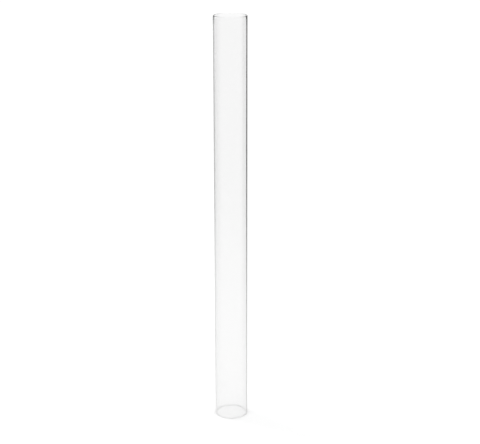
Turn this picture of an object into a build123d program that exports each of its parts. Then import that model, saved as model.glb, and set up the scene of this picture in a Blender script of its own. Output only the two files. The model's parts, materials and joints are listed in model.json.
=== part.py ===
from build123d import *
import os

# Straight glass tube, open at both ends, standing upright on one of its rims.
# The origin is at the centre of the bottom opening, in the plane that the tube stands on,
# and +Z runs up along the tube's axis.  All sizes are in millimetres.

# Driving dimensions
TUBE_LENGTH = 500.0
OUTER_DIAMETER = 40.0
WALL_THICKNESS = 1.2
# Both edges of a rim are melted round in a flame, which leaves a narrow flat ring between them.
RIM_LAND_WIDTH = 0.2

# Worked out from the driving dimensions
OUTER_RADIUS = OUTER_DIAMETER / 2
INNER_RADIUS = OUTER_RADIUS - WALL_THICKNESS
RIM_EDGE_RADIUS = (WALL_THICKNESS - RIM_LAND_WIDTH) / 2


def wall_section():
    """Section of the wall in the XZ plane: an upright strip with its four corners rounded."""
    wall_middle = (INNER_RADIUS + OUTER_RADIUS) / 2
    section = RectangleRounded(WALL_THICKNESS, TUBE_LENGTH, RIM_EDGE_RADIUS)
    return Plane.XZ * Pos(wall_middle, TUBE_LENGTH / 2) * section


def glass_tube():
    """The tube's wall: its section turned once round the tube's axis."""
    tube = revolve(wall_section(), axis=Axis.Z)
    tube.label = "glass_tube"
    return tube


def write_parts(pieces):
    """Write each piece to parts/NAME.step, named after its label."""
    os.makedirs("parts", exist_ok=True)
    for piece in pieces:
        export_step(piece, os.path.join("parts", piece.label + ".step"))


write_parts([glass_tube()])
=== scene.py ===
import json
from math import radians

import bpy
import numpy as np
from bpy.props import FloatProperty, FloatVectorProperty, IntProperty, PointerProperty
from mathutils import Matrix, Vector


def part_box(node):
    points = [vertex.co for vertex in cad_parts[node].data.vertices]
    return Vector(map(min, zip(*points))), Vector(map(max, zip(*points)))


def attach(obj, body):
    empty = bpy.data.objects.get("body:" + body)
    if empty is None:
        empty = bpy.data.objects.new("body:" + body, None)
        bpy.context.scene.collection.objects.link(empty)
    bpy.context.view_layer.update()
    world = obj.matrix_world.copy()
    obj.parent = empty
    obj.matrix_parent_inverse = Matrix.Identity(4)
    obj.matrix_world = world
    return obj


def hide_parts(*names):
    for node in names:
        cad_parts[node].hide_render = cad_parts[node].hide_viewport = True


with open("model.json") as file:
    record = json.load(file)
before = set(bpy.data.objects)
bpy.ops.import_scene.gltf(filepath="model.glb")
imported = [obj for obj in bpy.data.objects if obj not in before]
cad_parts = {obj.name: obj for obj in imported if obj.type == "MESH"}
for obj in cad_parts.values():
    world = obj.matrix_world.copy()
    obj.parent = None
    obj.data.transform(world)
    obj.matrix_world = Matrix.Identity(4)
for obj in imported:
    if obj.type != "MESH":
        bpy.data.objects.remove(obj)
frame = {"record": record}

# A straight tube of clear glass, open at both ends, standing on one rim on a pale floor.
# Lengths are in metres and angles in degrees, unless a property says otherwise.

bl_info = {
    "name": "Clear Glass Tube",
    "version": (1, 0, 0),
    "blender": (4, 5, 0),
    "location": "3D View > Sidebar > Glass Tube",
    "description": "Makes a straight clear glass tube, open at both ends, in a bright studio",
    "category": "Add Mesh",
}

TUBE_NODE = "glass_tube"
BODY = "root"

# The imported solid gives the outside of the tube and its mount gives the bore.
TUBE_LOW, TUBE_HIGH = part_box(TUBE_NODE)
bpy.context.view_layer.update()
MOUNTS = {mount["name"]: mount for mount in frame["record"]["mounts"]}
BORE = MOUNTS["bore"]["dims"]
OUTER_RADIUS = (TUBE_HIGH.x - TUBE_LOW.x) / 2
TUBE_LENGTH = TUBE_HIGH.z - TUBE_LOW.z
INNER_RADIUS = BORE["r_mm"] / 1000
RIM_ROUNDING = (TUBE_LENGTH - BORE["length_mm"] / 1000) / 2

# Rows of faces up the wall, and points in each quarter circle of a rim.
WALL_ROWS = 40
RIM_POINTS = 9

# The draw lines and the haze of the glass: the scale and detail of their noise, the factor on heights
# that stretches the draw lines along the tube, and the noise values between which the haze comes in.
DRAW_LINE_SCALE = 420.0
DRAW_LINE_DETAIL = 3.0
DRAW_LINE_HEIGHT_FACTOR = 0.012
HAZE_SCALE = 35.0
HAZE_DETAIL = 5.0
HAZE_RANGE = (0.55, 0.8)

# Floor: half its width, and how far it lies below the rim that stands on it.
FLOOR_REACH = 2.6
FLOOR_DEPTH = 0.00005

# Key light: a soft lamp behind the tube on its left, which the glass shades.
KEY_PLACE = (-1.4, 1.05, 1.6)
KEY_SIZE = 0.8

# Camera: its place, how far it looks down, turns towards +X and rolls, its lens and its sensor's width.
CAMERA_PLACE = (0.0, -1.418, 0.690)
CAMERA_TILT = 17.19
CAMERA_TURN = 0.45
CAMERA_ROLL = 0.05
LENS_MM = 92.12
SENSOR_MM = 36.0

# Dark cards that stand round the tube and give clear glass its dark edges. Each has the azimuth of
# its middle, counted from +Y towards +X, the half-widths of its solid part and of its soft edge, how
# dark it is from 0 to 1, and its mirrored share. Light reflected inside one wall sees a card whole,
# and that darkens the tube's edges. Other mirror images keep the mirrored share of its darkness,
# which is low where they would draw stripes. Light that no surface reflected sees no card, so the
# tube stays clear from every side.
DARK_CARDS = (
    {"azimuth": 24.0, "solid": 13.5, "edge": 20.5, "darkness": 1.0, "mirrored": 0.7},
    {"azimuth": -25.0, "solid": 9.0, "edge": 19.0, "darkness": 0.64, "mirrored": 0.3},
    {"azimuth": 76.0, "solid": 11.0, "edge": 31.0, "darkness": 0.68, "mirrored": 1.0},
    {"azimuth": -67.0, "solid": 4.0, "edge": 20.0, "darkness": 0.5, "mirrored": 0.7},
    {"azimuth": 180.0, "solid": 120.0, "edge": 146.0, "darkness": 0.55, "mirrored": 0.0},
)

# Elevations between which the cards' tops fade out, and the walls' brightness turns into the ceiling's.
CARD_TOP_BLUR = (9.0, 23.0)
CEILING_BLUR = (3.0, 30.0)

# Light that enters a wall and comes out on the same side passes two surfaces. Counts of bounces are
# whole numbers, so half a bounce tells them apart.
IN_AND_OUT_SURFACES = 2.0
HALF_BOUNCE = 0.5

WHITE = (1.0, 1.0, 1.0, 1.0)


# ---- Sizes and colours that a user may change ----

class GlassTubeSizes(bpy.types.PropertyGroup):
    """Sizes of the tube."""

    outer_radius: FloatProperty(
        name="Outer radius", description="Radius of the outside wall",
        default=OUTER_RADIUS, unit="LENGTH", precision=4)
    inner_radius: FloatProperty(
        name="Inner radius", description="Radius of the bore",
        default=INNER_RADIUS, unit="LENGTH", precision=4)
    length: FloatProperty(
        name="Length", description="Height from the bottom rim to the top rim",
        default=TUBE_LENGTH, unit="LENGTH", precision=4)
    rim_rounding: FloatProperty(
        name="Rim rounding", description="Radius of the melted edges of both rims",
        default=RIM_ROUNDING, unit="LENGTH", precision=5)
    segments: IntProperty(
        name="Segments", description="Number of faces round the tube", default=512, min=32)


class GlassFinish(bpy.types.PropertyGroup):
    """Look of the glass."""

    tint: FloatVectorProperty(
        name="Tint", description="Share of each colour that one wall lets through",
        default=(0.955, 0.955, 0.955), subtype="COLOR", min=0.0, max=1.0)
    refraction: FloatProperty(
        name="Refractive index", description="1.473 for borosilicate glass", default=1.473)
    draw_line_depth: FloatProperty(
        name="Draw line depth", description="Height of the fine lines left by drawing the tube",
        default=0.0000015, unit="LENGTH", precision=7)
    haze: FloatProperty(
        name="Haze", description="Roughness where the polish is faintest",
        default=0.02, subtype="FACTOR", min=0.0, max=1.0)


class StudioLight(bpy.types.PropertyGroup):
    """Brightness of the studio, where 1 is white in the picture."""

    backdrop: FloatProperty(
        name="Backdrop", description="Brightness of the walls that the glass stands against",
        default=1.03)
    overhead: FloatProperty(
        name="Overhead", description="Brightness of the ceiling that lights the floor",
        default=1.09)
    white: FloatProperty(
        name="White", description="Brightness of the empty background", default=1.05)
    floor_colour: FloatVectorProperty(
        name="Floor colour", description="Colour of the floor",
        default=(0.9, 0.9, 0.9), subtype="COLOR", min=0.0, max=1.0)
    floor_cover: FloatProperty(
        name="Floor cover", description="Opacity of the floor at its middle",
        default=0.70, subtype="FACTOR", min=0.0, max=1.0)
    floor_spread: FloatProperty(
        name="Floor spread", description="Distance over which the floor fades away",
        default=0.73, unit="LENGTH")
    key_power: FloatProperty(
        name="Key light", description="Power of the lamp that casts the faint shadow",
        default=9.0, subtype="POWER")


# ---- Surfaces ----

def new_piece(name, points, faces):
    """An object at the origin with the given points, an N x 3 array, and faces, an M x 4 array."""
    mesh = bpy.data.meshes.new(name)
    mesh.vertices.add(len(points))
    mesh.vertices.foreach_set("co", np.asarray(points, np.float32).ravel())
    mesh.loops.add(faces.size)
    mesh.loops.foreach_set("vertex_index", faces.astype(np.int32).ravel())
    mesh.polygons.add(len(faces))
    mesh.polygons.foreach_set("loop_start", np.arange(len(faces), dtype=np.int32) * 4)
    mesh.polygons.foreach_set("use_smooth", np.ones(len(faces), bool))
    mesh.update(calc_edges=True)
    piece = bpy.data.objects.new(name, mesh)
    bpy.context.scene.collection.objects.link(piece)
    return piece


def quarter_turn(centre, radius, start):
    """Points of a quarter circle: centre + radius * (cos t, sin t) for t from start to start + 90 degrees."""
    t = np.radians(np.linspace(start, start + 90, RIM_POINTS))
    return np.stack([centre[0] + radius * np.cos(t), centre[1] + radius * np.sin(t)], axis=1)


def wall_profile(sizes):
    """Closed outline of the wall, as (radius, height) rows, anticlockwise from the foot of the outside.

    Two straight sides, outside going up and inside coming down, joined at each end by two quarter
    circles with a flat ring between them.
    """
    rounding = sizes.rim_rounding
    low, high = rounding, sizes.length - rounding
    outside, inside = sizes.outer_radius - rounding, sizes.inner_radius + rounding
    heights = np.linspace(low, high, WALL_ROWS + 1)[1:-1]
    going_up = np.stack([np.full(len(heights), sizes.outer_radius), heights], axis=1)
    coming_down = np.stack([np.full(len(heights), sizes.inner_radius), heights[::-1]], axis=1)
    return np.concatenate([
        going_up,
        quarter_turn((outside, high), rounding, 0),
        quarter_turn((inside, high), rounding, 90),
        coming_down,
        quarter_turn((inside, low), rounding, 180),
        quarter_turn((outside, low), rounding, 270),
    ])


def turned(profile, segments):
    """Points and faces of a closed profile turned round Z.

    Point (i, j) is (r_j cos a_i, r_j sin a_i, z_j), where a_i = 360 i / segments degrees and r_j and
    z_j are the profile's radius and height. Both directions close on themselves, so there is no seam.
    """
    angle = 2 * np.pi * np.arange(segments) / segments
    radius, height = profile.T
    points = np.stack([
        np.outer(np.cos(angle), radius),
        np.outer(np.sin(angle), radius),
        np.broadcast_to(height, (segments, len(profile))),
    ], axis=-1).reshape(-1, 3)
    i, j = np.meshgrid(np.arange(segments), np.arange(len(profile)), indexing="ij")
    next_i, next_j = (i + 1) % segments, (j + 1) % len(profile)
    columns = len(profile)
    faces = np.stack([
        i * columns + j, next_i * columns + j, next_i * columns + next_j, i * columns + next_j,
    ], axis=-1).reshape(-1, 4)
    return points, faces


def flat_square(reach, height):
    """Points and face of a flat square: its corners are (x, y, height), with x and y each -reach or reach."""
    corners = np.array([(-1, -1), (1, -1), (1, 1), (-1, 1)]) * reach
    return np.column_stack([corners, np.full(len(corners), height)]), np.array([[0, 1, 2, 3]])


# ---- Node helpers ----

def add_node(tree, kind, inputs=None, **settings):
    """A node of the given kind. Inputs are constants or sockets, by the input's name or number."""
    node = tree.nodes.new(kind)
    for name, value in settings.items():
        setattr(node, name, value)
    for name, value in (inputs or {}).items():
        if isinstance(value, bpy.types.NodeSocket):
            tree.links.new(value, node.inputs[name])
        else:
            node.inputs[name].default_value = value
    return node


def maths(tree, operation, *values):
    """The output of a Math node."""
    return add_node(tree, "ShaderNodeMath", dict(enumerate(values)), operation=operation).outputs[0]


def ramp(tree, value, start, end, low=0.0, high=1.0):
    """A value that goes smoothly from low at start to high at end."""
    inputs = {"Value": value, "From Min": start, "From Max": end, "To Min": low, "To Max": high}
    return add_node(tree, "ShaderNodeMapRange", inputs, interpolation_type="SMOOTHSTEP").outputs[0]


def fresh_material(name):
    """A material with an empty node tree and its output node."""
    material = bpy.data.materials.new(name)
    material.use_nodes = True
    material.node_tree.nodes.clear()
    return material, material.node_tree, material.node_tree.nodes.new("ShaderNodeOutputMaterial")


# ---- Materials ----

def clear_glass(finish):
    """Polished drawn glass: clear, a little absorbing, with fine lines along it and a faint uneven haze."""
    material, tree, output = fresh_material("clear_glass")
    place = add_node(tree, "ShaderNodeTexCoord").outputs["Object"]
    along = add_node(
        tree, "ShaderNodeMapping",
        {"Vector": place, "Scale": (1.0, 1.0, DRAW_LINE_HEIGHT_FACTOR)}).outputs[0]
    lines = add_node(
        tree, "ShaderNodeTexNoise",
        {"Vector": along, "Scale": DRAW_LINE_SCALE, "Detail": DRAW_LINE_DETAIL}).outputs[0]
    bump = add_node(
        tree, "ShaderNodeBump", {"Distance": finish.draw_line_depth, "Height": lines}).outputs[0]
    clouds = add_node(
        tree, "ShaderNodeTexNoise",
        {"Vector": place, "Scale": HAZE_SCALE, "Detail": HAZE_DETAIL}).outputs[0]
    haze = ramp(tree, clouds, *HAZE_RANGE, high=finish.haze)
    shader = add_node(tree, "ShaderNodeBsdfPrincipled", {
        "Base Color": (*finish.tint, 1.0), "Transmission Weight": 1.0, "IOR": finish.refraction,
        "Roughness": haze, "Normal": bump})
    tree.links.new(shader.outputs[0], output.inputs["Surface"])
    return material


def pale_floor(light):
    """Matt pale floor that fades away from its middle as exp(-(distance / spread) squared)."""
    material, tree, output = fresh_material("pale_floor")
    place = add_node(tree, "ShaderNodeTexCoord").outputs["Object"]
    distance = add_node(tree, "ShaderNodeVectorMath", {0: place}, operation="LENGTH").outputs["Value"]
    share = maths(tree, "DIVIDE", distance, light.floor_spread)
    fall = maths(tree, "EXPONENT", maths(tree, "MULTIPLY", maths(tree, "MULTIPLY", share, share), -1.0))
    cover = maths(tree, "MULTIPLY", fall, light.floor_cover)
    matt = add_node(tree, "ShaderNodeBsdfDiffuse", {"Color": (*light.floor_colour, 1.0)}).outputs[0]
    clear = add_node(tree, "ShaderNodeBsdfTransparent").outputs[0]
    mix = add_node(tree, "ShaderNodeMixShader", {0: cover, 1: clear, 2: matt}).outputs[0]
    tree.links.new(mix, output.inputs["Surface"])
    return material


# ---- Studio ----

def light_path(tree):
    """Two values, each 1 or 0: whether light was reflected, and whether it passed just two surfaces."""
    path = add_node(tree, "ShaderNodeLightPath").outputs
    reflected = maths(tree, "GREATER_THAN", path["Glossy Depth"], HALF_BOUNCE)
    in_and_out = maths(
        tree, "COMPARE", path["Transmission Depth"], IN_AND_OUT_SURFACES, HALF_BOUNCE)
    return reflected, in_and_out


def card_shade(tree, level_direction, elevation, card, reflected, in_and_out):
    """Share of light that passes a dark card: 1 beside it and 1 - darkness behind its solid part.

    The darkness counts in full for light reflected inside one wall, which went in and out of it, by
    its mirrored share for other reflected light, and not at all for light that wasn't reflected.
    """
    azimuth = radians(card["azimuth"])
    middle = add_node(
        tree, "ShaderNodeVectorMath",
        {0: level_direction, 1: (np.sin(azimuth), np.cos(azimuth), 0.0)},
        operation="DOT_PRODUCT").outputs["Value"]
    width = ramp(
        tree, middle, start=np.cos(radians(card["edge"])), end=np.cos(radians(card["solid"])),
        high=card["darkness"])
    height = ramp(tree, elevation, *CARD_TOP_BLUR, low=1.0, high=0.0)
    share = maths(tree, "MULTIPLY_ADD", in_and_out, 1.0 - card["mirrored"], card["mirrored"])
    seen = maths(tree, "MULTIPLY", reflected, share)
    shade = maths(tree, "MULTIPLY", maths(tree, "MULTIPLY", width, height), seen)
    return maths(tree, "SUBTRACT", 1.0, shade)


def studio_world(light):
    """White where the camera looks past the tube, else a bright room whose cards reflected light sees."""
    world = bpy.data.worlds.new("studio")
    world.use_nodes = True
    tree = world.node_tree
    tree.nodes.clear()
    direction = add_node(tree, "ShaderNodeTexCoord").outputs["Generated"]
    level = add_node(
        tree, "ShaderNodeVectorMath", {0: direction, 1: (1.0, 1.0, 0.0)}, operation="MULTIPLY")
    level = add_node(
        tree, "ShaderNodeVectorMath", {0: level.outputs[0]}, operation="NORMALIZE").outputs[0]
    height = add_node(tree, "ShaderNodeSeparateXYZ", {0: direction}).outputs["Z"]
    elevation = maths(tree, "DEGREES", maths(tree, "ARCSINE", height))
    brightness = ramp(tree, elevation, *CEILING_BLUR, low=light.backdrop, high=light.overhead)
    path = light_path(tree)
    for card in DARK_CARDS:
        shade = card_shade(tree, level, elevation, card, *path)
        brightness = maths(tree, "MULTIPLY", brightness, shade)
    room = add_node(tree, "ShaderNodeBackground", {"Color": WHITE, "Strength": brightness}).outputs[0]
    white = add_node(tree, "ShaderNodeBackground", {"Color": WHITE, "Strength": light.white}).outputs[0]
    seen = add_node(tree, "ShaderNodeLightPath").outputs["Is Camera Ray"]
    mix = add_node(tree, "ShaderNodeMixShader", {0: seen, 1: room, 2: white}).outputs[0]
    output = add_node(tree, "ShaderNodeOutputWorld")
    tree.links.new(mix, output.inputs["Surface"])
    return world


def key_light(light):
    """A soft disc lamp aimed at the foot of the tube. The glass stops its light, and so shades the floor."""
    lamp = bpy.data.lights.new("key_light", "AREA")
    lamp.shape = "DISK"
    lamp.size = KEY_SIZE
    lamp.energy = light.key_power
    key = bpy.data.objects.new("key_light", lamp)
    key.location = KEY_PLACE
    key.rotation_euler = (Vector((0, 0, 0)) - key.location).to_track_quat("-Z", "Y").to_euler()
    key.visible_transmission = False
    return key


# ---- Operators ----

class MakeGlassTube(bpy.types.Operator):
    """Make the glass tube: the wall's outline turned round the tube's axis"""

    bl_idname = "glass_tube.make_tube"
    bl_label = "Make Glass Tube"

    def execute(self, context):
        sizes = context.scene.glass_tube_sizes
        tube = new_piece("glass_tube_wall", *turned(wall_profile(sizes), sizes.segments))
        tube.data.materials.append(clear_glass(context.scene.glass_finish))
        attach(tube, BODY)
        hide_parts(TUBE_NODE)
        return {"FINISHED"}


class MakeStage(bpy.types.Operator):
    """Make the pale floor, the bright room and the key light"""

    bl_idname = "glass_tube.make_stage"
    bl_label = "Make Stage"

    def execute(self, context):
        scene = context.scene
        light = scene.studio_light
        floor = new_piece("floor", *flat_square(FLOOR_REACH, -FLOOR_DEPTH))
        floor.data.materials.append(pale_floor(light))
        scene.world = studio_world(light)
        scene.collection.objects.link(key_light(light))
        scene.view_settings.view_transform = "Standard"
        scene.cycles.blur_glossy = 0.0
        scene.cycles.denoising_input_passes = "RGB"
        return {"FINISHED"}


class MakeCamera(bpy.types.Operator):
    """Place the camera in front of the tube, above it and tilted down"""

    bl_idname = "glass_tube.make_camera"
    bl_label = "Make Camera"

    def execute(self, context):
        lens = bpy.data.cameras.new("camera")
        lens.sensor_width = SENSOR_MM
        lens.lens = LENS_MM
        camera = bpy.data.objects.new("camera", lens)
        camera.matrix_world = (
            Matrix.Translation(CAMERA_PLACE)
            @ Matrix.Rotation(radians(-CAMERA_TURN), 4, "Z")
            @ Matrix.Rotation(radians(90 - CAMERA_TILT), 4, "X")
            @ Matrix.Rotation(radians(-CAMERA_ROLL), 4, "Z"))
        context.scene.collection.objects.link(camera)
        context.scene.camera = camera
        return {"FINISHED"}


class GlassTubePanel(bpy.types.Panel):
    """Lists the steps that make the tube and its stage"""

    bl_idname = "VIEW3D_PT_glass_tube"
    bl_label = "Glass Tube"
    bl_space_type = "VIEW_3D"
    bl_region_type = "UI"
    bl_category = "Glass Tube"

    def draw(self, context):
        scene = context.scene
        for group in (scene.glass_tube_sizes, scene.glass_finish, scene.studio_light):
            box = self.layout.box()
            for name in group.__annotations__:
                box.prop(group, name)
        for operator in (MakeStage, MakeCamera, MakeGlassTube):
            self.layout.operator(operator.bl_idname)


CLASSES = (
    GlassTubeSizes, GlassFinish, StudioLight, MakeGlassTube, MakeStage, MakeCamera, GlassTubePanel)


def register():
    for cls in CLASSES:
        bpy.utils.register_class(cls)
    bpy.types.Scene.glass_tube_sizes = PointerProperty(type=GlassTubeSizes)
    bpy.types.Scene.glass_finish = PointerProperty(type=GlassFinish)
    bpy.types.Scene.studio_light = PointerProperty(type=StudioLight)


def unregister():
    del bpy.types.Scene.studio_light
    del bpy.types.Scene.glass_finish
    del bpy.types.Scene.glass_tube_sizes
    for cls in reversed(CLASSES):
        bpy.utils.unregister_class(cls)


def main():
    register()
    bpy.ops.glass_tube.make_stage()
    bpy.ops.glass_tube.make_camera()
    bpy.ops.glass_tube.make_tube()


if __name__ == "__main__":
    main()
